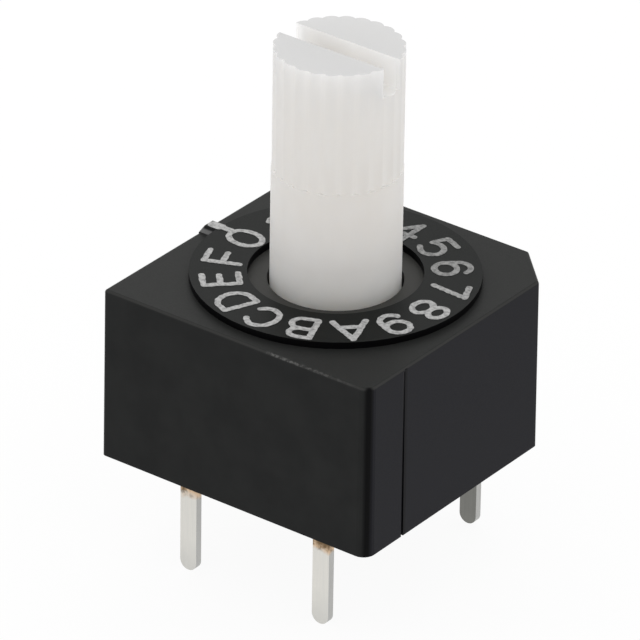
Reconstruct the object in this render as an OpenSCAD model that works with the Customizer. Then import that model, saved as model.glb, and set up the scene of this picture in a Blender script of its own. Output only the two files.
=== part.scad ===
// Sixteen-position rotary coded switch for circuit boards, with a tall fluted shaft.
// A black moulded housing carries a raised dial ring and an index rib on its top face.
// A white one-piece rotor turns in it: the shaft, a star wheel and a bearing stub.
// Under the star wheel a coded metal disc sweeps over five spring fingers.
// Each finger is the upper end of a flat terminal that leaves through the base.
// Lengths are in millimetres. The origin is the middle of the seating plane, where the
// housing meets the board. +Z runs up the shaft, -X points to the index rib and -Y to the
// row of two terminals. The cut corner lies between +X and +Y.

/* [Housing] */
// Side length of the square housing at its top
body_w = 10; // [9:0.1:12]
// Height of the housing above the board
body_h = 5.75; // [5.6:0.05:8]
// Distance by which each side face leans outwards from its top to its foot
draft = 0.05; // [0:0.01:0.08]
// Leg of the flat cut on the marked corner
corner_cut = 1.38; // [0.6:0.02:1.6]
// Radius of the upright front corner, opposite the cut one
front_corner_r = 0.35; // [0.1:0.05:0.5]
// Radius of the other upright corners
corner_r = 0.1; // [0.05:0.05:0.3]
// Radius of the rounding along the top edges
edge_r = 0.1; // [0.05:0.05:0.4]
// Wall around the pocket that holds the base
pocket_wall = 0.6; // [0.5:0.05:0.65]
// Width of the ledge in the pocket's corners that the base seats against
ledge_w = 0.25; // [0.15:0.05:0.25]
// Thinnest side wall around the round chamber
chamber_wall = 0.7; // [0.7:0.05:0.9]
// Thickness of the top wall
top_wall = 0.8; // [0.7:0.05:1.2]
// Distance of the upright groove from the front corner
groove_inset = 1.75; // [1:0.05:2.5]
// Width of the upright groove
groove_w = 0.1; // [0.05:0.01:0.2]
// Depth of the upright groove at its upper end
groove_depth = 0.04; // [0.03:0.01:0.12]

/* [Dial ring] */
// Distance from the side faces to the raised ring that carries the dial
ring_margin = 0.54; // [0.4:0.01:0.7]
// Inner radius of the raised ring
ring_inner_r = 2.69; // [2.6:0.01:2.9]
// Height of the ring above the top face
ring_h = 0.22; // [0.15:0.01:0.4]
// Depth of the recess inside the ring, from the ring's top
recess_depth = 0.24; // [0.1:0.01:0.3]
// Width of the index rib at its foot
rib_w = 0.68; // [0.5:0.02:0.9]
// Width of the rib's flat top
rib_top_w = 0.4; // [0.2:0.02:0.5]
// Setback of the rib's top from the side face
rib_setback = 0.12; // [0.05:0.01:0.2]

/* [Shaft] */
// Diameter of the shaft
shaft_d = 4.02; // [3.6:0.02:4.2]
// Height of the shaft above the top face of the housing
shaft_h = 7.85; // [6:0.05:14]
// Number of flutes around the shaft
flute_count = 24; // [18:1:32]
// Length of the fluted part, from the shaft's end
flute_l = 4; // [3:0.1:7]
// Depth of the flutes
flute_depth = 0.1; // [0.05:0.01:0.15]
// Width of the screwdriver slot
slot_w = 0.8; // [0.5:0.05:1.2]
// Depth of the screwdriver slot
slot_depth = 1; // [0.6:0.05:2]
// Radial clearance of the shaft in the top wall
shaft_clearance = 0.08; // [0.03:0.01:0.1]

/* [Rotor] */
// Number of switch positions
positions = 16; // [16]
// Radial depth of the notches in the star wheel
notch_depth = 0.18; // [0.1:0.01:0.22]
// Radius of the notches in the star wheel
notch_r = 0.35; // [0.3:0.01:0.4]
// Radius of the hub under the star wheel
hub_r = 0.85; // [0.75:0.05:0.95]
// Radius of the bearing stub
stub_r = 0.6; // [0.4:0.05:0.65]
// Depth of the bearing socket in the base
socket_depth = 0.8; // [0.5:0.05:0.9]
// Running clearance of the rotor, along and around its axis
play = 0.05; // [0.03:0.01:0.08]

/* [Click spring] */
// Thickness of the leaf
leaf_t = 0.12; // [0.08:0.01:0.15]
// Height of the leaf
leaf_h = 0.8; // [0.5:0.05:0.95]
// Gap between the leaf and the star wheel
leaf_gap = 0.2; // [0.15:0.01:0.25]
// Angle of the gap between the two ends of the leaf
leaf_opening = 70; // [40:1:100]
// Width of the tab that holds the leaf in the housing
tab_w = 1; // [0.6:0.1:1.6]
// Depth of the tab in the housing wall
tab_depth = 0.3; // [0.15:0.05:0.4]

/* [Coded disc and seal] */
// Thickness of the coded disc
disc_t = 0.15; // [0.1:0.01:0.2]
// Web of metal left between the windows of neighbouring tracks
track_web = 0.1; // [0.05:0.01:0.15]
// Angle of the web between neighbouring windows in a track
web_angle = 1.5; // [1:0.1:3]
// Thickness of the sealing ring around the shaft
seal_t = 0.64; // [0.5:0.01:0.7]

/* [Base and terminals] */
// Thickness of the base
base_t = 1.2; // [1.1:0.05:1.5]
// Height of the space for the spring fingers
finger_space = 1.35; // [1.1:0.05:1.5]
// Width of the sealing bead under the base's edge
bead_w = 0.35; // [0.2:0.01:0.5]
// Depth of the sealing bead
bead_h = 0.4; // [0.2:0.05:0.6]
// Spacing of neighbouring terminals along a row
pin_pitch = 2.54; // [2.4:0.02:2.6]
// Distance from the front and back faces to the row of terminals beside them
row_inset = 1.19; // [1.15:0.01:1.4]
// Length of the terminals below the seating plane
pin_l = 3.7; // [3:0.05:5]
// Width of a terminal
pin_w = 0.62; // [0.4:0.02:0.7]
// Thickness of the terminal sheet
sheet_t = 0.25; // [0.2:0.01:0.3]
// Width of a spring finger at its root
finger_w = 0.5; // [0.4:0.02:0.6]
// Width of a spring finger at its tip
finger_tip_w = 0.24; // [0.18:0.02:0.3]
// Angle from the X axis to the nose of the finger for bit 1
nose_angle_1 = 40; // [38:0.5:42]
// Angle from the X axis to the nose of the finger for bit 2
nose_angle_2 = 54; // [52:0.5:56]
// Angle from the X axis to the nose of the finger for bit 4
nose_angle_4 = 23; // [20:0.5:26]
// Angle from the X axis to the nose of the finger for bit 8
nose_angle_8 = 39; // [37:0.5:41]

/* [Hidden] */
$fn = 64;

// Overrun of a cutting tool past the face that it opens
over = 0.1;
// Slip fit between pieces that are assembled and stay put
fit = 0.01;
// Contact gap between a finger and the coded disc
contact_gap = 0.02;
// Wall of the collar around the sealing ring
boss_w = 0.55;

// Heights, from the seating plane upwards
disc_z = base_t + finger_space;
wheel_z = disc_z + disc_t;
ceiling_z = body_h - top_wall;
gland_h = seal_t + fit;
wheel_top = ceiling_z - gland_h;
ring_top = body_h + ring_h;
recess_z = ring_top - recess_depth;
shaft_top = body_h + shaft_h;
flute_z = shaft_top - flute_l;
leaf_z = (wheel_z + wheel_top - leaf_h) / 2;

// Radii, from the axis outwards
half_w = body_w / 2;
shaft_r = shaft_d / 2;
hole_r = shaft_r + shaft_clearance;
seal_mid_r = shaft_r + fit + seal_t / 2;
boss_inner_r = seal_mid_r + seal_t / 2 + fit;
chamber_r = half_w - chamber_wall;
leaf_outer_r = chamber_r - notch_depth - play;
leaf_inner_r = leaf_outer_r - leaf_t;
wheel_r = leaf_inner_r - leaf_gap;
valley_r = wheel_r - notch_depth;
notch_mid_r = valley_r + notch_r;
nose_r = notch_r - contact_gap;
disc_r = valley_r;
step_angle = 360 / positions;
ring_r = half_w - ring_margin;
row_y = half_w - row_inset;
groove_y = groove_inset - half_w;

// Lobes between the flutes: circles that touch crest_r and meet their neighbours at flute_r
half_lobe = 180 / flute_count;
crest_r = shaft_r - fit;
flute_r = crest_r - flute_depth;
lobe_r = (pow(crest_r, 2) + pow(flute_r, 2) - 2 * crest_r * flute_r * cos(half_lobe))
    / (2 * (crest_r - flute_r * cos(half_lobe)));
lobe_mid_r = crest_r - lobe_r;

// Tracks of the bits 1, 4, 2 and 8 and of the common, in equal rings from the rim inwards
track_pitch = (disc_r - hub_r - fit) / 5;
track_1 = disc_r - 0.5 * track_pitch;
track_4 = disc_r - 1.5 * track_pitch;
track_2 = disc_r - 2.5 * track_pitch;
track_8 = disc_r - 3.5 * track_pitch;
common_r = disc_r - 4.5 * track_pitch;
window_w = track_pitch - track_web;

// Plan of the housing, drawn in from its outer faces by inset
module outline(inset = 0) {
    offset(delta = -inset)
        intersection() {
            rounded(corner_r)
                polygon([
                    [-half_w, -half_w],
                    [half_w, -half_w],
                    [half_w, half_w - corner_cut],
                    [half_w - corner_cut, half_w],
                    [-half_w, half_w]
                ]);
            // Square that reaches past the other corners and rounds the front one
            rounded(front_corner_r)
                translate([half_w - 2 * body_w, -half_w])
                    square(2 * body_w);
        }
}

// Rounds the outer corners of a plan
module rounded(r) {
    offset(r = r, $fn = 24)
        offset(delta = -r)
            children();
}

// Sector of a disc, centred on angle a
module sector(r, a, width) {
    polygon([
        [0, 0],
        [r * cos(a - width / 2), r * sin(a - width / 2)],
        [r * cos(a), r * sin(a)],
        [r * cos(a + width / 2), r * sin(a + width / 2)]
    ]);
}

// Outer block of the housing, with leaning side faces and rounded top edges
module block() {
    slice = edge_r / 10;
    hull() {
        linear_extrude(slice)
            outline(-draft);
        for (a = [0:22.5:90])
            translate([0, 0, body_h - edge_r + (edge_r - slice) * sin(a)])
                linear_extrude(slice)
                    outline((edge_r - slice) * (1 - cos(a)));
    }
}

// Index rib from the dial ring to the -X face, with sloping flanks and a sloping end
module index_rib() {
    rib_l = half_w - ring_r + over;
    intersection() {
        translate([-half_w, 0, 0])
            rotate([90, 0, 90])
                linear_extrude(rib_l)
                    polygon([
                        [-rib_w / 2, body_h - edge_r],
                        [rib_w / 2, body_h - edge_r],
                        [rib_w / 2, body_h],
                        [rib_top_w / 2, ring_top],
                        [-rib_top_w / 2, ring_top],
                        [-rib_w / 2, body_h]
                    ]);
        translate([0, rib_w, 0])
            rotate([90, 0, 0])
                linear_extrude(2 * rib_w)
                    polygon([
                        [-half_w, body_h - edge_r],
                        [-half_w + rib_l, body_h - edge_r],
                        [-half_w + rib_l, ring_top],
                        [-half_w + rib_setback, ring_top],
                        [-half_w, body_h]
                    ]);
    }
}

module housing() {
    color([0.17, 0.17, 0.17]) {
        difference() {
            union() {
                block();
                translate([0, 0, body_h - edge_r])
                    cylinder(h = ring_h + edge_r, r = ring_r);
                index_rib();
            }
            // Recess inside the dial ring and the hole for the shaft
            translate([0, 0, recess_z])
                cylinder(h = recess_depth + over, r = ring_inner_r);
            translate([0, 0, ceiling_z - over])
                cylinder(h = top_wall + ring_h + 2 * over, r = hole_r);
            // Round chamber for the rotor, square space for the fingers, pocket for the base
            translate([0, 0, base_t - over])
                cylinder(h = ceiling_z - base_t + over, r = chamber_r);
            translate([0, 0, base_t - over])
                linear_extrude(disc_z - base_t + over)
                    outline(pocket_wall + ledge_w);
            translate([0, 0, -over])
                linear_extrude(base_t + over)
                    outline(pocket_wall);
            // Slot for the tab of the click spring, open towards the base
            translate([0, -tab_w / 2 - fit, base_t - over])
                cube([chamber_r + tab_depth + fit, tab_w + 2 * fit, leaf_z + leaf_h - base_t + over]);
            // Upright groove beside the front corner
            translate([half_w - groove_depth, groove_y - groove_w / 2, -over])
                cube([groove_depth + over, groove_w, body_h - edge_r + over]);
        }
        // Collar that keeps the sealing ring in place and guides the star wheel
        translate([0, 0, wheel_top + play])
            difference() {
                cylinder(h = gland_h - play + over, r = boss_inner_r + boss_w);
                translate([0, 0, -over])
                    cylinder(h = gland_h + 3 * over, r = boss_inner_r);
            }
    }
}

// Base plate, moulded around the terminals
module base() {
    color([0.13, 0.13, 0.14])
        difference() {
            linear_extrude(base_t)
                outline(pocket_wall + fit);
            // Socket for the stub of the rotor
            translate([0, 0, base_t - socket_depth])
                cylinder(h = socket_depth + over, r = stub_r + play);
            // Rebate for the sealing bead
            translate([0, 0, -over])
                linear_extrude(bead_h + over)
                    difference() {
                        outline(pocket_wall - over);
                        outline(pocket_wall + bead_w);
                    }
            // Slots for the terminals
            for (x = [-pin_pitch, 0, pin_pitch])
                terminal_slot(x, 1);
            for (x = [-pin_pitch, pin_pitch])
                terminal_slot(x, -1);
        }
}

module terminal_slot(x, side) {
    translate([x, side * row_y, base_t / 2])
        cube([pin_w + 2 * fit, sheet_t + 2 * fit, base_t + 2 * over], center = true);
}

// Bead of sealing resin in the joint between the base and the housing
module sealing_bead() {
    color([0.25, 0.22, 0.2])
        translate([0, 0, over / 2])
            linear_extrude(bead_h - over / 2)
                difference() {
                    outline(pocket_wall);
                    outline(pocket_wall + bead_w);
                }
}

// Plan of the star wheel, with one notch for each position
module star() {
    difference() {
        circle(r = wheel_r);
        for (i = [0:positions - 1])
            rotate(i * step_angle)
                translate([notch_mid_r, 0])
                    circle(r = notch_r, $fn = 32);
    }
}

// Plan of the fluted part of the shaft
module lobes() {
    circle(r = lobe_mid_r);
    for (i = [0:flute_count - 1])
        rotate(2 * i * half_lobe)
            translate([lobe_mid_r, 0])
                circle(r = lobe_r, $fn = 32);
}

// Shaft, star wheel, hub and stub in one moulding
module shaft() {
    color([0.87, 0.86, 0.84])
        difference() {
            union() {
                translate([0, 0, flute_z])
                    linear_extrude(flute_l)
                        lobes();
                translate([0, 0, wheel_top - over])
                    cylinder(h = flute_z - wheel_top + over, r = shaft_r);
                translate([0, 0, wheel_z])
                    linear_extrude(wheel_top - wheel_z)
                        star();
                translate([0, 0, base_t + play])
                    cylinder(h = wheel_z - base_t, r = hub_r);
                translate([0, 0, base_t - socket_depth + play])
                    cylinder(h = socket_depth + play, r = stub_r);
            }
            translate([-shaft_r - over, -slot_w / 2, shaft_top - slot_depth])
                cube([shaft_d + 2 * over, slot_w, slot_depth + over]);
        }
}

// Rubber ring that seals the shaft against the housing
module sealing_ring() {
    color([0.2, 0.12, 0.1])
        translate([0, 0, ceiling_z - seal_t / 2])
            rotate_extrude()
                translate([seal_mid_r, 0])
                    circle(d = seal_t, $fn = 32);
}

// Sprung leaf around the star wheel, with a hollow nose on either side
module click_spring() {
    color([0.72, 0.72, 0.7])
        translate([0, 0, leaf_z])
            linear_extrude(leaf_h) {
                difference() {
                    intersection() {
                        union() {
                            difference() {
                                circle(r = leaf_outer_r);
                                circle(r = leaf_inner_r);
                            }
                            nose_circles(nose_r);
                        }
                        circle(r = leaf_outer_r);
                    }
                    nose_circles(nose_r - leaf_t);
                    sector(body_w, 180, leaf_opening);
                }
                translate([leaf_inner_r + leaf_t / 2, -tab_w / 2])
                    square([chamber_r + tab_depth - leaf_inner_r - leaf_t / 2, tab_w]);
            }
}

module nose_circles(r) {
    for (side = [-1, 1])
        translate([0, side * notch_mid_r])
            circle(r = r, $fn = 32);
}

// Windows of one track: open where the position's bit is not set
module windows(bit, track, finger_angle) {
    for (p = [0:positions - 1])
        if (floor(p / bit) % 2 == 0)
            intersection() {
                difference() {
                    circle(r = track + window_w / 2);
                    circle(r = track - window_w / 2);
                }
                sector(body_w, finger_angle + p * step_angle, step_angle - web_angle);
            }
}

// Metal disc under the star wheel: a closed common track and four coded tracks
module coded_disc() {
    color([0.83, 0.69, 0.35])
        translate([0, 0, disc_z])
            linear_extrude(disc_t)
                difference() {
                    circle(r = disc_r);
                    circle(r = hub_r + fit);
                    windows(1, track_1, 180 + nose_angle_1);
                    windows(4, track_4, -nose_angle_4);
                    windows(2, track_2, 180 - nose_angle_2);
                    windows(8, track_8, nose_angle_8);
                }
}

// Flat terminal with its spring finger, bent from one strip.
// side is the row and pin_x the place in it. The finger's nose meets the coded disc at
// finger_x and nose_y, and reach is its distance from the terminal's own row.
module terminal(side, pin_x, finger_x, nose_y) {
    reach = row_y - side * nose_y;
    mid_z = base_t + sheet_t / 2;
    nose_z = disc_z - contact_gap - sheet_t / 2;
    run = 0.5;
    tail = 0.3;
    dip = 0.12;
    path = [[0, mid_z], [run, mid_z], [reach, nose_z], [reach + tail, nose_z - dip]];
    last = reach + tail;
    color([0.8, 0.79, 0.77])
        translate([0, side * row_y, 0])
            mirror([0, side > 0 ? 1 : 0, 0]) {
                // Blade through the base, with a round tip
                translate([pin_x, sheet_t / 2, 0])
                    rotate([90, 0, 0])
                        linear_extrude(sheet_t) {
                            translate([-pin_w / 2, -pin_l + pin_w / 2])
                                square([pin_w, pin_l - pin_w / 2 + base_t + sheet_t]);
                            translate([0, -pin_l + pin_w / 2])
                                circle(d = pin_w);
                        }
                // Strap across the base from the blade to the finger
                translate([min(pin_x, finger_x) - finger_w / 2, -sheet_t / 2, base_t])
                    cube([abs(pin_x - finger_x) + finger_w, run + sheet_t / 2, sheet_t]);
                // Finger, cut to its side view and to its plan
                intersection() {
                    translate([finger_x - finger_w / 2, 0, 0])
                        rotate([90, 0, 90])
                            linear_extrude(finger_w)
                                polygon(concat(
                                    [for (p = path) [p.x, p.y + sheet_t / 2]],
                                    [for (i = [len(path) - 1:-1:0]) [path[i].x, path[i].y - sheet_t / 2]]
                                ));
                    translate([finger_x, 0, 0])
                        linear_extrude(disc_z)
                            polygon([
                                [-finger_w / 2, 0],
                                [finger_w / 2, 0],
                                [finger_tip_w / 2, last],
                                [-finger_tip_w / 2, last]
                            ]);
                }
            }
}

module terminal_1() {
    terminal(1, -pin_pitch, -track_1 * cos(nose_angle_1), -track_1 * sin(nose_angle_1));
}

module terminal_2() {
    terminal(-1, -pin_pitch, -track_2 * cos(nose_angle_2), track_2 * sin(nose_angle_2));
}

module terminal_4() {
    terminal(1, pin_pitch, track_4 * cos(nose_angle_4), -track_4 * sin(nose_angle_4));
}

module terminal_8() {
    terminal(-1, pin_pitch, track_8 * cos(nose_angle_8), track_8 * sin(nose_angle_8));
}

module terminal_common() {
    terminal(1, 0, 0, common_r);
}

housing();
base();
sealing_bead();
shaft();
sealing_ring();
click_spring();
coded_disc();
terminal_1();
terminal_2();
terminal_4();
terminal_8();
terminal_common();
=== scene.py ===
import math

import bpy
import numpy as np
from mathutils import Matrix, Vector


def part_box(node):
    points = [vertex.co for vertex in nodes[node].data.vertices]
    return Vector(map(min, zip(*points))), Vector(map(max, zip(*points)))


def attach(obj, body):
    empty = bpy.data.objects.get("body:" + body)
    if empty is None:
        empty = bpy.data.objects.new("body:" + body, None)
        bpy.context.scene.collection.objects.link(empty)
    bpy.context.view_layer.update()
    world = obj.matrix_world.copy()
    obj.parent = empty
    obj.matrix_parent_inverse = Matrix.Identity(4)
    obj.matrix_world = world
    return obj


# Looks for a rotary coded switch: black moulded housing, white fluted shaft, bright terminals.
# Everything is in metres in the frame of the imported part: the origin is the middle of the
# seating plane, +Z runs up the shaft, -X points to the index rib and -Y to the row of two
# terminals. Sizes written in millimetres are multiplied by MM where they are used.

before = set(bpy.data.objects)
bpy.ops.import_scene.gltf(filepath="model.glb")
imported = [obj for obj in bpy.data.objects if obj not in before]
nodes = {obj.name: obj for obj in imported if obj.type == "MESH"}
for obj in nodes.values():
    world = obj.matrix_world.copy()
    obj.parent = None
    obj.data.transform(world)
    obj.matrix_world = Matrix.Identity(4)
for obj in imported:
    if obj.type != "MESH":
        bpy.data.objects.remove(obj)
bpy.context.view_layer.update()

MM = 0.001
scene = bpy.context.scene

# Places taken from the frame
housing_low, housing_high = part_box("housing")
pin_low, pin_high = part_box("terminal_1")
HALF_W = housing_high[0] / MM
RING_TOP = housing_high[2] / MM
PIN_TIP = pin_low[2] / MM

# Height of the dial ring above the housing's top face
RING_H = 0.22
TOP_FACE = RING_TOP - RING_H
# Distance by which each side face leans out from its top to its foot
DRAFT = 0.05
# Place of the upright groove in the +X face
GROOVE_Y = -3.25


class Nodes:
    """A material's node tree, with short calls for the nodes used here."""

    def __init__(self, name):
        self.mat = bpy.data.materials.new(name)
        self.mat.use_nodes = True
        self.tree = self.mat.node_tree
        self.bsdf = self.tree.nodes["Principled BSDF"]
        self.out = self.tree.nodes["Material Output"]
        self.coord = None
        self.split = None
        self.slope = None

    def node(self, kind, **values):
        n = self.tree.nodes.new(kind)
        for key, value in values.items():
            if key in n.inputs:
                n.inputs[key].default_value = value
            else:
                setattr(n, key, value)
        return n

    def link(self, a, b):
        self.tree.links.new(a, b)

    def position(self):
        if self.coord is None:
            self.coord = self.node("ShaderNodeTexCoord")
        return self.coord.outputs["Object"]

    def noise(self, scale, detail=2.0, rough=0.5, stretch=None):
        """Noise over the object's own coordinates; scale is in cells per metre."""
        n = self.node("ShaderNodeTexNoise", Scale=scale, Detail=detail, Roughness=rough)
        source = self.position()
        if stretch:
            mapping = self.node("ShaderNodeMapping")
            mapping.inputs["Scale"].default_value = stretch
            self.link(source, mapping.inputs["Vector"])
            source = mapping.outputs[0]
        self.link(source, n.inputs["Vector"])
        return n.outputs["Fac"]

    def axis(self, which):
        if self.split is None:
            self.split = self.node("ShaderNodeSeparateXYZ")
            self.link(self.position(), self.split.inputs[0])
        return self.split.outputs["XYZ".index(which)]

    def facing(self, which):
        """One part of the surface's direction, such as Z: 1 where the surface looks up."""
        if self.slope is None:
            self.slope = self.node("ShaderNodeSeparateXYZ")
            self.link(self.node("ShaderNodeNewGeometry").outputs["Normal"], self.slope.inputs[0])
        return self.slope.outputs["XYZ".index(which)]

    def radius(self):
        """Distance from the shaft's axis."""
        return self.vector("LENGTH", self.vector("MULTIPLY", self.position(), (1.0, 1.0, 0.0)))

    def ramp(self, fac, stops):
        n = self.node("ShaderNodeValToRGB")
        ramp = n.color_ramp
        while len(ramp.elements) < len(stops):
            ramp.elements.new(0.5)
        for el, (place, colour) in zip(ramp.elements, stops):
            el.position = place
            el.color = (*colour, 1.0)
        self.link(fac, n.inputs["Fac"])
        return n.outputs["Color"]

    def span(self, value, low, high, to_low=0.0, to_high=1.0):
        """Maps low..high to to_low..to_high and holds the ends."""
        n = self.node("ShaderNodeMapRange")
        n.clamp = True
        for i, v in zip((1, 2, 3, 4), (low, high, to_low, to_high)):
            n.inputs[i].default_value = v
        self.link(value, n.inputs[0])
        return n.outputs[0]

    def mix(self, fac, a, b):
        n = self.node("ShaderNodeMix", data_type="RGBA")
        self.put(n.inputs["Factor"], fac)
        for socket in n.inputs:
            if socket.type == "RGBA":
                self.put(socket, a if socket.name == "A" else b)
        return n.outputs[2]

    def math(self, operation, a, b=None):
        n = self.node("ShaderNodeMath", operation=operation)
        self.put(n.inputs[0], a)
        if b is not None:
            self.put(n.inputs[1], b)
        return n.outputs[0]

    def both(self, *masks):
        """Product of masks."""
        result = masks[0]
        for mask in masks[1:]:
            result = self.math("MULTIPLY", result, mask)
        return result

    def vector(self, operation, a, b=None):
        n = self.node("ShaderNodeVectorMath", operation=operation)
        self.put(n.inputs[0], a)
        if b is not None:
            self.put(n.inputs[1], b)
        return n.outputs["Value" if operation == "LENGTH" else "Vector"]

    def round_normal(self, core):
        """Normal of a plain cylinder around Z on upright faces outside the radius core."""
        geometry = self.node("ShaderNodeNewGeometry")
        flat = self.vector("MULTIPLY", geometry.outputs["Position"], (1.0, 1.0, 0.0))
        level = self.vector("MULTIPLY", geometry.outputs["Normal"], (1.0, 1.0, 0.0))
        outside = self.span(self.vector("LENGTH", flat), core, core + 0.01 * MM)
        upright = self.span(self.vector("LENGTH", level), 0.7, 0.9)
        mix = self.node("ShaderNodeMix", data_type="VECTOR")
        self.link(self.both(outside, upright), mix.inputs[0])
        self.link(geometry.outputs["Normal"], mix.inputs[4])
        self.link(self.vector("NORMALIZE", flat), mix.inputs[5])
        return self.vector("NORMALIZE", mix.outputs[1])

    def bump(self, height, distance, strength=1.0, normal=None):
        n = self.node("ShaderNodeBump", Strength=strength, Distance=distance)
        self.link(height, n.inputs["Height"])
        if normal is not None:
            self.link(normal, n.inputs["Normal"])
        self.link(n.outputs["Normal"], self.bsdf.inputs["Normal"])

    def put(self, socket, value):
        if isinstance(value, (int, float)):
            socket.default_value = value
        elif isinstance(value, tuple):
            socket.default_value = (*value, 1.0) if socket.type == "RGBA" else value
        else:
            self.link(value, socket)

    def set(self, **values):
        for key, value in values.items():
            self.put(self.bsdf.inputs[key.replace("_", " ")], value)


def paint(node_name, material):
    mesh = nodes[node_name].data
    mesh.materials.clear()
    mesh.materials.append(material)


# Materials

HOUSING_DARK = (0.0120, 0.0125, 0.0125)
HOUSING_LIGHT = (0.0155, 0.0160, 0.0158)
TOP_PAINTED_LIGHT = (0.0195, 0.0203, 0.0196)
RING_BLACK = (0.0065, 0.0076, 0.0070)
RECESS_PAINTED_LIGHT = (0.048, 0.048, 0.045)
TOP_EDGE_PAINTED_HIGHLIGHT = (0.034, 0.034, 0.033)
SIDE_PAINTED_COOL_LIGHT = (0.0094, 0.0095, 0.0126)
CORNER_PAINTED_SHADE = (0.0012, 0.0012, 0.0015)
SCUFF_AND_GLINT = (0.11, 0.11, 0.107)
GROOVE_GREY = (0.050, 0.050, 0.053)
GROOVE_EDGE_PAINTED_SHADE = (0.0035, 0.0035, 0.0048)
RIB_INK_AND_PAINTED_HIGHLIGHT = (0.16, 0.16, 0.16)
# Range of the upward part of the normal over which a surface counts as looking up
LOOKS_UP = (0.90, 0.97)


def housing_material():
    """Fine matt black moulding, a little mottled, with painted light and shade on its faces, edges,
    walls and front corner, and a few scuffs.
    """
    m = Nodes("housing_black")
    mottled = m.noise(900, 3.0)
    grain = m.noise(26000, 4.0, 0.6)
    plain = m.ramp(mottled, [(0.35, HOUSING_DARK), (0.65, HOUSING_LIGHT)])
    # Painted light: faces that look up are painted lighter, as if lit from above, and the +X face darker
    # and cooler, as if lit coolly from the side
    slope = m.facing("Z")
    height = m.axis("Z")
    up = m.span(slope, *LOOKS_UP)
    plain = m.mix(up, plain, TOP_PAINTED_LIGHT)
    plain = m.mix(m.span(m.axis("X"), 4.95 * MM, 4.98 * MM), plain, SIDE_PAINTED_COOL_LIGHT)
    # The printed ring is blacker than the top face, and the floor of its recess is painted paler, as
    # painted light against the recess's shade
    raised = m.span(m.axis("Z"), (TOP_FACE + 0.10) * MM, (TOP_FACE + 0.12) * MM)
    plain = m.mix(m.both(up, raised), plain, RING_BLACK)
    inside = m.span(m.radius(), 2.68 * MM, 2.67 * MM)
    plain = m.mix(m.both(up, inside), plain, RECESS_PAINTED_LIGHT)
    # Painted highlight on the rounded top edges
    rounding = m.both(
        m.span(slope, 0.15, 0.35),
        m.span(slope, 0.98, 0.90),
        m.span(m.axis("Z"), (TOP_FACE - 0.11) * MM, (TOP_FACE - 0.10) * MM),
        m.span(m.axis("Z"), (TOP_FACE + 0.005) * MM, (TOP_FACE + 0.001) * MM),
    )
    plain = m.mix(rounding, plain, TOP_EDGE_PAINTED_HIGHLIGHT)
    # Painted shade on the upright walls of the dial ring and its recess; the narrow groove in the +X
    # face is grey
    level = m.span(slope, 0.3, 0.2)
    wall = m.both(level, m.span(m.axis("Z"), (TOP_FACE - 0.03) * MM, (TOP_FACE - 0.02) * MM),
                  m.span(m.axis("X"), -4.46 * MM, -4.45 * MM))
    plain = m.mix(wall, plain, CORNER_PAINTED_SHADE)
    groove = m.both(
        m.span(m.axis("X"), 4.90 * MM, 4.91 * MM),
        m.span(m.axis("X"), 4.98 * MM, 4.97 * MM),
        m.span(m.axis("Y"), (GROOVE_Y - 0.07) * MM, (GROOVE_Y - 0.06) * MM),
        m.span(m.axis("Y"), (GROOVE_Y + 0.07) * MM, (GROOVE_Y + 0.06) * MM),
        m.span(m.axis("Z"), (TOP_FACE - 0.09) * MM, (TOP_FACE - 0.11) * MM),
    )
    plain = m.mix(groove, plain, GROOVE_GREY)
    # Distance by which the side faces lean out at each height
    lean = m.span(m.axis("Z"), 0.0, TOP_FACE * MM, DRAFT * MM, 0.0)
    # Painted shade along the groove's +Y edge, wavering a little
    waver = m.math("MULTIPLY", m.math("SUBTRACT", m.noise(650, 2.0), 0.5), 0.12 * MM)
    beside = m.math("ADD", m.axis("Y"), waver)
    groove_edge_shade = m.both(
        m.span(m.axis("X"), 4.98 * MM, 4.985 * MM),
        m.span(m.axis("Y"), (GROOVE_Y + 0.045) * MM, (GROOVE_Y + 0.05) * MM),
        m.span(beside, (GROOVE_Y + 0.20) * MM, (GROOVE_Y + 0.12) * MM),
    )
    plain = m.mix(groove_edge_shade, plain, GROOVE_EDGE_PAINTED_SHADE)
    # Painted shade on the upright front corner, between +X and -Y
    corner_shade = m.both(
        m.span(m.math("SUBTRACT", m.axis("X"), lean), 4.77 * MM, 4.87 * MM),
        m.span(m.math("ADD", m.axis("Y"), lean), -4.72 * MM, -4.82 * MM),
    )
    colour = m.mix(corner_shade, plain, CORNER_PAINTED_SHADE)
    # Ink run on to the end of the index rib, and painted highlight on the foot of its -Y flank
    rib_end = m.both(
        m.span(m.axis("X"), -4.86 * MM, -4.89 * MM),
        m.span(height, (TOP_FACE + 0.05) * MM, (TOP_FACE + 0.09) * MM),
    )
    rib_foot = m.both(
        m.span(m.axis("X"), -4.45 * MM, -4.50 * MM),
        m.span(m.axis("Y"), -0.24 * MM, -0.27 * MM),
        m.span(m.axis("Y"), -0.36 * MM, -0.33 * MM),
        m.span(height, (TOP_FACE + 0.01) * MM, (TOP_FACE + 0.03) * MM),
    )
    colour = m.mix(m.math("MAXIMUM", rib_end, rib_foot), colour, RIB_INK_AND_PAINTED_HIGHLIGHT)
    # Scuffs along the top edge of the -Y face, with painted glints where the burrs catch light
    edge = m.both(
        m.span(m.axis("Y"), -4.90 * MM, -4.97 * MM),
        m.span(m.axis("Z"), (TOP_FACE - 0.07) * MM, (TOP_FACE - 0.04) * MM),
        m.span(m.axis("X"), 1.1 * MM, 1.4 * MM),
        m.span(m.axis("X"), 4.6 * MM, 2.0 * MM),
        m.span(m.noise(8500, 2.0, 0.7), 0.44, 0.56),
    )
    colour = m.mix(edge, colour, SCUFF_AND_GLINT)
    m.set(Base_Color=colour)
    m.set(Roughness=m.span(grain, 0.3, 0.7, 0.40, 0.52))
    m.set(Specular_IOR_Level=0.08)
    m.bump(grain, 0.004 * MM, 0.35)
    return m.mat


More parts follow.
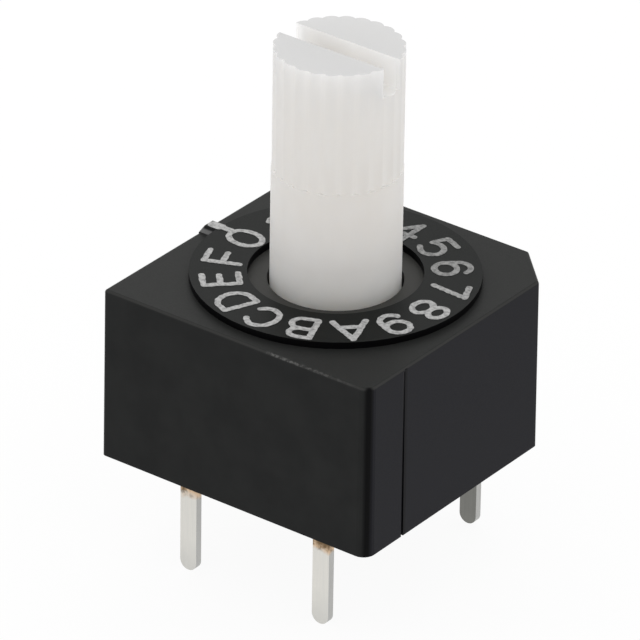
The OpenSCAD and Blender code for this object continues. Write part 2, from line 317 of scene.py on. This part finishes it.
def base_material():
    """Black moulding of the base plate, seen from below."""
    m = Nodes("base_black")
    mottled = m.noise(1200, 3.0)
    m.set(Base_Color=m.ramp(mottled, [(0.35, (0.012, 0.012, 0.013)), (0.65, (0.02, 0.02, 0.021))]))
    m.set(Roughness=0.5, Specular_IOR_Level=0.3)
    m.bump(m.noise(20000, 3.0), 0.004 * MM, 0.4)
    return m.mat


def resin_material():
    """Cured sealing resin: dark brown, glossy and a little uneven."""
    m = Nodes("cured_resin")
    mottled = m.noise(1500, 3.0)
    m.set(Base_Color=m.ramp(mottled, [(0.3, (0.03, 0.022, 0.016)), (0.7, (0.06, 0.045, 0.03))]))
    m.set(Roughness=0.25)
    m.bump(m.noise(2500, 2.0), 0.02 * MM, 0.5)
    return m.mat


SHAFT_WHITE = (0.682, 0.666, 0.648)
SHAFT_TOP_PAINTED_SHADE = (0.632, 0.620, 0.606)
SHAFT_FOOT_PAINTED_LIGHT = (0.800, 0.780, 0.742)
SLOT_PAINTED_LIGHT = (0.715, 0.703, 0.688)
SLOT_END_PAINTED_SHADE = (0.47, 0.466, 0.462)
SLOT_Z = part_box("shaft")[1][2] / MM - 1
# Radius outside which the flutes are shaded like a plain round shaft
FLUTE_CORE = 1.86
SHAFT_SHADE = (0.660, 0.640, 0.618)
VALLEY_PAINTED_LIGHT = (0.706, 0.690, 0.672)
STEP_PAINTED_SHADE = (0.635, 0.62, 0.60)
END_WHITE = (0.645, 0.643, 0.640)


def shaft_material():
    """White moulding that lets light in, so that its fine flutes hardly show."""
    m = Nodes("shaft_white")
    cloud = m.noise(450, 2.0)
    grain = m.noise(16000, 3.0, 0.6)
    white = m.ramp(cloud, [(0.35, SHAFT_SHADE), (0.62, SHAFT_WHITE)])
    # Painted shade towards the top of the shaft, and painted light at its foot against the recess's
    # shade
    white = m.mix(m.span(m.axis("Z"), (SLOT_Z - 1) * MM, (SLOT_Z + 0.8) * MM), white, SHAFT_TOP_PAINTED_SHADE)
    white = m.mix(m.span(m.axis("Z"), (TOP_FACE + 1.2) * MM, TOP_FACE * MM), white, SHAFT_FOOT_PAINTED_LIGHT)
    # Painted light in the flutes' valleys against their shade, and painted shade on the steps at their
    # lower ends
    fluted = m.span(m.axis("Z"), (SLOT_Z - 3) * MM, (SLOT_Z - 2.99) * MM)
    valley = m.both(fluted, m.span(m.radius(), 2.0 * MM, 1.94 * MM))
    white = m.mix(valley, white, VALLEY_PAINTED_LIGHT)
    # Painted light on the walls and floor of the slot, with painted shade towards its -X end
    slot = m.both(
        m.span(m.math("ABSOLUTE", m.axis("Y")), 0.42 * MM, 0.41 * MM),
        m.span(m.axis("Z"), (SLOT_Z - 0.02) * MM, (SLOT_Z - 0.01) * MM),
    )
    slot_light_and_shade = m.mix(m.span(m.axis("X"), 0.2 * MM, -2.0 * MM), SLOT_PAINTED_LIGHT, SLOT_END_PAINTED_SHADE)
    white = m.mix(slot, white, slot_light_and_shade)
    up = m.span(m.facing("Z"), *LOOKS_UP)
    step = m.both(
        m.span(m.facing("Z"), 0.4, 0.7),
        m.span(m.axis("Z"), (SLOT_Z - 2.5) * MM, (SLOT_Z - 2.6) * MM),
        m.span(m.axis("Z"), (TOP_FACE + 0.5) * MM, (TOP_FACE + 0.6) * MM),
    )
    white = m.mix(step, white, STEP_PAINTED_SHADE)
    # The cut end is even in tone, and light enters it less than the sides
    end = m.both(up, m.span(m.axis("Z"), (SLOT_Z + 0.9) * MM, (SLOT_Z + 0.95) * MM))
    white = m.mix(end, white, END_WHITE)
    m.set(Base_Color=white)
    m.set(Roughness=m.span(grain, 0.3, 0.7, 0.45, 0.58))
    m.set(Specular_IOR_Level=0.12)
    m.set(Subsurface_Weight=m.span(end, 0.0, 1.0, 1.0, 0.15))
    m.set(Subsurface_Radius=(1.0, 0.95, 0.88), Subsurface_Scale=6.0 * MM)
    m.bump(grain, 0.003 * MM, 0.25, m.round_normal(FLUTE_CORE * MM))
    return m.mat


def rubber_material():
    """Dark rubber of the sealing ring."""
    m = Nodes("seal_rubber")
    mottled = m.noise(3000, 2.0)
    m.set(Base_Color=m.ramp(mottled, [(0.3, (0.01, 0.008, 0.008)), (0.7, (0.02, 0.016, 0.015))]))
    m.set(Roughness=0.6)
    m.bump(m.noise(14000, 3.0), 0.003 * MM, 0.5)
    return m.mat


def strip_metal(name, low, high, roughness=(0.2, 0.38)):
    """Rolled strip: fine lines along Z and a slight mottle."""
    m = Nodes(name)
    streak = m.noise(1.0, 3.0, stretch=(22000, 22000, 900))
    m.set(Base_Color=m.ramp(streak, [(0.3, low), (0.7, high)]))
    m.set(Roughness=m.span(streak, 0.3, 0.7, *roughness), Metallic=1.0)
    m.bump(streak, 0.002 * MM, 0.4)
    return m


STRIP_EDGE_PAINTED_SHADE = (0.49, 0.49, 0.475)
TIP_GREY = (0.655, 0.648, 0.615)
STAIN_TAN = (0.70, 0.52, 0.36)
STAIN_BROWN = (0.20, 0.135, 0.075)
BACK_ROW_PAINTED_SHADE = (0.215, 0.215, 0.20)


def terminal_material():
    """Dull bright plating, stained copper-brown where it leaves the base."""
    m = strip_metal("terminal_plating", (0.72, 0.708, 0.668), (0.79, 0.773, 0.728), (0.34, 0.5))
    bright = m.bsdf.inputs["Base Color"].links[0].from_socket
    wander = m.math("MULTIPLY", m.math("SUBTRACT", m.noise(2600, 3.0), 0.5), 0.65 * MM)
    place = m.math("ADD", m.axis("Z"), wander)
    stain = m.span(place, -1.17 * MM, -0.96 * MM)
    tan = m.ramp(m.noise(4600, 3.0), [(0.36, STAIN_BROWN), (0.52, STAIN_TAN)])
    brown = m.mix(m.span(place, -0.94 * MM, -0.78 * MM), tan, STAIN_BROWN)
    bright = m.mix(m.span(place, -2.5 * MM, -3.6 * MM), bright, TIP_GREY)
    # Painted shade on the sheared edges of the strip, darker than its faces
    edge = m.span(m.math("ABSOLUTE", m.facing("X")), 0.6, 0.8)
    # Painted shade on the broad faces of the back row
    back = m.span(m.axis("Y"), -0.5 * MM, 0.5 * MM)
    plate = m.mix(back, m.mix(stain, bright, brown), BACK_ROW_PAINTED_SHADE)
    m.set(Base_Color=m.mix(edge, plate, m.mix(stain, STRIP_EDGE_PAINTED_SHADE, brown)))
    return m.mat


def ink_material():
    """Pale printing ink, mottled and thinner towards +Y."""
    m = Nodes("dial_ink")
    specks = m.noise(7500, 3.0, 0.65)
    full = m.ramp(specks, [(0.32, (0.25, 0.25, 0.25)), (0.58, (0.50, 0.50, 0.495))])
    thin = m.ramp(specks, [(0.32, (0.13, 0.13, 0.13)), (0.60, (0.32, 0.32, 0.315))])
    m.set(Base_Color=m.mix(m.span(m.axis("Y"), 0.3 * MM, 2.0 * MM), full, thin))
    m.set(Roughness=0.6, Specular_IOR_Level=0.2)
    m.bump(specks, 0.004 * MM, 0.5)
    return m.mat


paint("housing", housing_material())
paint("base", base_material())
paint("sealing_bead", resin_material())
paint("shaft", shaft_material())
paint("sealing_ring", rubber_material())
paint("click_spring", strip_metal("spring_strip", (0.5, 0.5, 0.48), (0.66, 0.66, 0.64)).mat)
paint("coded_disc", strip_metal("contact_gold", (0.72, 0.52, 0.2), (0.86, 0.67, 0.32)).mat)
terminal_plating = terminal_material()
for name in nodes:
    if name.startswith("terminal"):
        paint(name, terminal_plating)

# Dial characters, printed on the ring. Lengths in this part are in millimetres.

CHAR_R = 3.535
CHAR_TOP = 0.555
CHAR_STROKE = 0.19
INK_T = 0.012
INK_SINK = 0.002
INK_GRID = 0.022
INK_WAVER = 0.004
# How far the print is out of register with the ring
PRINT_SHIFT = (0.15, -0.145)
PRINT_TURN = math.radians(-1.0)
# Index line: full width on the rib, narrower where it runs on to the first character
INDEX_RIB = (-4.87, -4.45)
INDEX_END = -4.05
INDEX_Y = 0.01
INDEX_RIB_W = 0.36
INDEX_W = 0.24


def arc(cx, cy, rx, ry, start, end, count=18):
    return [
        (cx + rx * math.cos(math.radians(start + (end - start) * i / count)),
         cy + ry * math.sin(math.radians(start + (end - start) * i / count)))
        for i in range(count + 1)
    ]


def glyph_paths():
    """Strokes of each character, x to its right and y to its top, centred on 0, 0."""
    top, low = CHAR_TOP, -CHAR_TOP
    six = [
        arc(0, -0.21, 0.365, 0.345, 0, 360, 24),
        [(-0.365, -0.21), (-0.36, 0.20)] + arc(0.0, 0.20, 0.36, 0.355, 180, 32),
    ]
    return {
        "0": [arc(0, 0, 0.42, 0.57, 0, 360, 28)],
        "1": [[(-0.22, 0.33), (0.05, top), (0.05, low)]],
        "2": [arc(0, 0.20, 0.36, 0.355, 165, -35) + [(-0.36, low), (0.38, low)]],
        "3": [arc(-0.02, 0.285, 0.33, 0.27, 150, -80), arc(-0.02, -0.25, 0.38, 0.305, 85, -150)],
        "4": [[(0.18, low), (0.18, top), (-0.38, -0.20), (0.40, -0.20)]],
        "5": [[(0.26, top), (-0.34, top), (-0.36, 0.06)] + arc(-0.03, -0.19, 0.395, 0.365, 145, -140)],
        "6": six,
        "7": [[(-0.335, 0.525), (0.34, top), (0.09, 0.0), (-0.17, low)]],
        "8": [arc(0, 0.295, 0.345, 0.26, 0, 360, 24), arc(0, -0.26, 0.38, 0.295, 0, 360, 24)],
        "9": [[(-x, -y) for x, y in path] for path in six],
        "A": [[(-0.50, low), (0, top), (0.50, low)], [(-0.33, -0.20), (0.33, -0.20)]],
        "B": [
            [(-0.27, low), (-0.27, top), (0.14, top)] + arc(0.14, 0.30, 0.28, 0.255, 90, -90)
            + [(-0.27, 0.045)],
            [(0.17, 0.045)] + arc(0.17, -0.255, 0.30, 0.30, 90, -90) + [(-0.27, low)],
        ],
        "C": [arc(0.05, 0, 0.46, top, 38, 322, 24)],
        "D": [[(-0.41, low), (-0.41, top), (-0.06, top)] + arc(-0.06, 0, 0.47, top, 90, -90, 24)
              + [(-0.41, low)]],
        "E": [[(0.33, top), (-0.33, top), (-0.33, low), (0.33, low)], [(-0.33, 0.03), (0.25, 0.03)]],
        "F": [[(0.34, top), (-0.34, top), (-0.30, low)], [(-0.32, -0.02), (0.28, -0.02)]],
    }


def stroke_field(paths, xs, ys, rng):
    """Distance to the strokes less half their width, on a grid: negative inside the ink."""
    gx, gy = np.meshgrid(xs, ys, indexing="ij")
    best = np.full(gx.shape, np.inf)
    for path, width in paths:
        for (ax, ay), (bx, by) in zip(path, path[1:]):
            dx, dy = bx - ax, by - ay
            t = np.clip(((gx - ax) * dx + (gy - ay) * dy) / (dx * dx + dy * dy), 0, 1)
            best = np.minimum(best, np.hypot(gx - ax - t * dx, gy - ay - t * dy) - width / 2)
    for _ in range(6):
        angle, wave, phase = rng.uniform(0, 2 * math.pi), rng.uniform(9, 34), rng.uniform(0, 2 * math.pi)
        best += INK_WAVER * np.sin(wave * (gx * math.cos(angle) + gy * math.sin(angle)) + phase)
    return best


def contour_mesh(field, xs, ys, place, low, high, verts, faces):
    """Adds the region where field is negative as a thin closed plate."""
    index = {}

    def vert(key, point):
        if key not in index:
            x, y = place(*point)
            index[key] = len(verts)
            verts.append((x * MM, y * MM, high * MM))
            verts.append((x * MM, y * MM, low * MM))
        return index[key]

    def crossing(a, b):
        t = field[a] / (field[a] - field[b])
        pa, pb = (xs[a[0]], ys[a[1]]), (xs[b[0]], ys[b[1]])
        return (pa[0] + (pb[0] - pa[0]) * t, pa[1] + (pb[1] - pa[1]) * t)

    for i in range(len(xs) - 1):
        for j in range(len(ys) - 1):
            ring = [(i, j), (i + 1, j), (i + 1, j + 1), (i, j + 1)]
            inside = [field[c] < 0 for c in ring]
            if not any(inside):
                continue
            poly = []
            for k in range(4):
                a, b = ring[k], ring[(k + 1) % 4]
                if inside[k]:
                    poly.append((vert(a, (xs[a[0]], ys[a[1]])), False))
                if inside[k] != inside[(k + 1) % 4]:
                    poly.append((vert(tuple(sorted((a, b))), crossing(a, b)), True))
            top = [p[0] for p in poly]
            if len(top) < 3:
                continue
            faces.append(top)
            faces.append([v + 1 for v in reversed(top)])
            for k in range(len(poly)):
                (a, cut_a), (b, cut_b) = poly[k], poly[(k + 1) % len(poly)]
                if cut_a and cut_b:
                    faces.append([a, a + 1, b + 1, b])


def make_legend():
    """The sixteen characters and the index line, as thin plates of ink."""
    verts, faces = [], []
    low, high = RING_TOP - INK_SINK, RING_TOP + INK_T
    paths = glyph_paths()
    xs = np.arange(-0.72, 0.72, INK_GRID)
    ys = np.arange(-0.80, 0.80, INK_GRID)
    for i, char in enumerate("0123456789ABCDEF"):
        angle = math.pi - i * math.pi / 8 + PRINT_TURN
        out = (math.cos(angle), math.sin(angle))
        right = (out[1], -out[0])

        def place(x, y):
            return (
                out[0] * (CHAR_R + y) + right[0] * x + PRINT_SHIFT[0],
                out[1] * (CHAR_R + y) + right[1] * x + PRINT_SHIFT[1],
            )

        strokes = [(path, CHAR_STROKE) for path in paths[char]]
        field = stroke_field(strokes, xs, ys, np.random.default_rng(40 + i))
        contour_mesh(field, xs, ys, place, low, high, verts, faces)
    xs = np.arange(-HALF_W, -3.8, INK_GRID)
    ys = np.arange(-0.3, 0.3, INK_GRID)
    start, bend = INDEX_RIB
    strokes = [
        ([(start + INDEX_RIB_W / 2, INDEX_Y), (bend, INDEX_Y)], INDEX_RIB_W),
        ([(bend, INDEX_Y), (INDEX_END, INDEX_Y + 0.03)], INDEX_W),
    ]
    field = stroke_field(strokes, xs, ys, np.random.default_rng(77))
    contour_mesh(field, xs, ys, lambda x, y: (x, y), low, high + 0.001, verts, faces)
    mesh = bpy.data.meshes.new("dial_characters")
    mesh.from_pydata(verts, [], faces)
    mesh.validate()
    mesh.materials.append(ink_material())
    legend = bpy.data.objects.new("dial_characters", mesh)
    scene.collection.objects.link(legend)
    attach(legend, "switch_body")


make_legend()

# Floor, light and camera

FLOOR_WHITE = 0.93
FLOOR_SIZE = 1.2


def make_floor():
    """Pale floor under the terminal tips, mostly plain white to the camera, with a soft shadow."""
    m = Nodes("floor_white")
    m.set(Base_Color=(0.97, 0.97, 0.97), Roughness=0.9, Specular_IOR_Level=0.0)
    glow = m.node("ShaderNodeEmission", Strength=1.0)
    path = m.node("ShaderNodeLightPath")
    seen = m.math("MAXIMUM", path.outputs["Is Camera Ray"], path.outputs["Is Glossy Ray"])
    seen = m.math("MAXIMUM", seen, path.outputs["Is Transmission Ray"])
    mix = m.node("ShaderNodeMixShader")
    m.link(m.math("MULTIPLY", seen, FLOOR_WHITE), mix.inputs[0])
    m.link(m.bsdf.outputs[0], mix.inputs[1])
    m.link(glow.outputs[0], mix.inputs[2])
    m.link(mix.outputs[0], m.out.inputs["Surface"])
    quarters = ((-1, -1), (1, -1), (1, 1), (-1, 1))
    corners = [(x * FLOOR_SIZE, y * FLOOR_SIZE, PIN_TIP * MM) for x, y in quarters]
    mesh = bpy.data.meshes.new("floor")
    mesh.from_pydata(corners, [], [(0, 1, 2, 3)])
    mesh.materials.append(m.mat)
    floor = bpy.data.objects.new("floor", mesh)
    scene.collection.objects.link(floor)


def make_world():
    """Even white light from all around."""
    world = bpy.data.worlds.new("studio")
    scene.world = world
    world.use_nodes = True
    background = world.node_tree.nodes["Background"]
    background.inputs["Color"].default_value = (1, 1, 1, 1)
    background.inputs["Strength"].default_value = 1.0


def area_light(name, place, target, size, power, colour=(1, 1, 1)):
    data = bpy.data.lights.new(name, "AREA")
    data.shape = "DISK"
    data.size = size
    data.energy = power
    data.color = colour
    light = bpy.data.objects.new(name, data)
    scene.collection.objects.link(light)
    light.location = place
    direction = Vector(target) - Vector(place)
    light.rotation_mode = "QUATERNION"
    light.rotation_quaternion = direction.to_track_quat("-Z", "Y")
    return light


# Large soft lamp behind the far left corner, which the top face reflects towards the camera
LAMP_WAY = (-0.72, 0.54, 0.44)
LAMP_DISTANCE = 60
LAMP_SIZE = 52
LAMP_POWER = 0.0030
LAMP_COLOUR = (1.0, 0.985, 0.96)


def make_lamp():
    target = Vector((0, 0, TOP_FACE)) * MM
    place = target + Vector(LAMP_WAY) * LAMP_DISTANCE * MM
    area_light("top_lamp", place, target, LAMP_SIZE * MM, LAMP_POWER, LAMP_COLOUR)


# Camera fitted to the photograph: a long lens from the front right, slightly above.
# The distance is from the middle of the housing's top face, and the shifts are across the view.
CAMERA_AZIMUTH = 36.671
CAMERA_ELEVATION = 29.103
CAMERA_ROLL = 0.923
CAMERA_DISTANCE = 212.212
CAMERA_RIGHT = 0.474
CAMERA_UP = 1.305
FOCAL_LENGTH_PX = 7000
IMAGE_PX = 640
SENSOR = 36.0


def make_camera():
    azimuth, elevation, roll = (math.radians(a) for a in (CAMERA_AZIMUTH, CAMERA_ELEVATION, CAMERA_ROLL))
    back = Vector((
        math.sin(azimuth) * math.cos(elevation),
        -math.cos(azimuth) * math.cos(elevation),
        math.sin(elevation),
    ))
    right = (-back).cross(Vector((0, 0, 1))).normalized()
    up = right.cross(-back)
    cam_x = right * math.cos(roll) + up * math.sin(roll)
    cam_y = up * math.cos(roll) - right * math.sin(roll)
    target = Vector((0, 0, TOP_FACE)) - cam_x * CAMERA_RIGHT - cam_y * CAMERA_UP
    place = target + back * CAMERA_DISTANCE
    data = bpy.data.cameras.new("camera")
    data.sensor_width = SENSOR
    data.lens = FOCAL_LENGTH_PX / IMAGE_PX * SENSOR
    data.clip_start, data.clip_end = 0.01, 10.0
    camera = bpy.data.objects.new("camera", data)
    scene.collection.objects.link(camera)
    axes = Matrix((cam_x, cam_y, back)).transposed()
    camera.matrix_world = Matrix.Translation(place * MM) @ axes.to_4x4()
    scene.camera = camera


make_floor()
make_world()
make_lamp()
make_camera()

scene.view_settings.view_transform = "Standard"
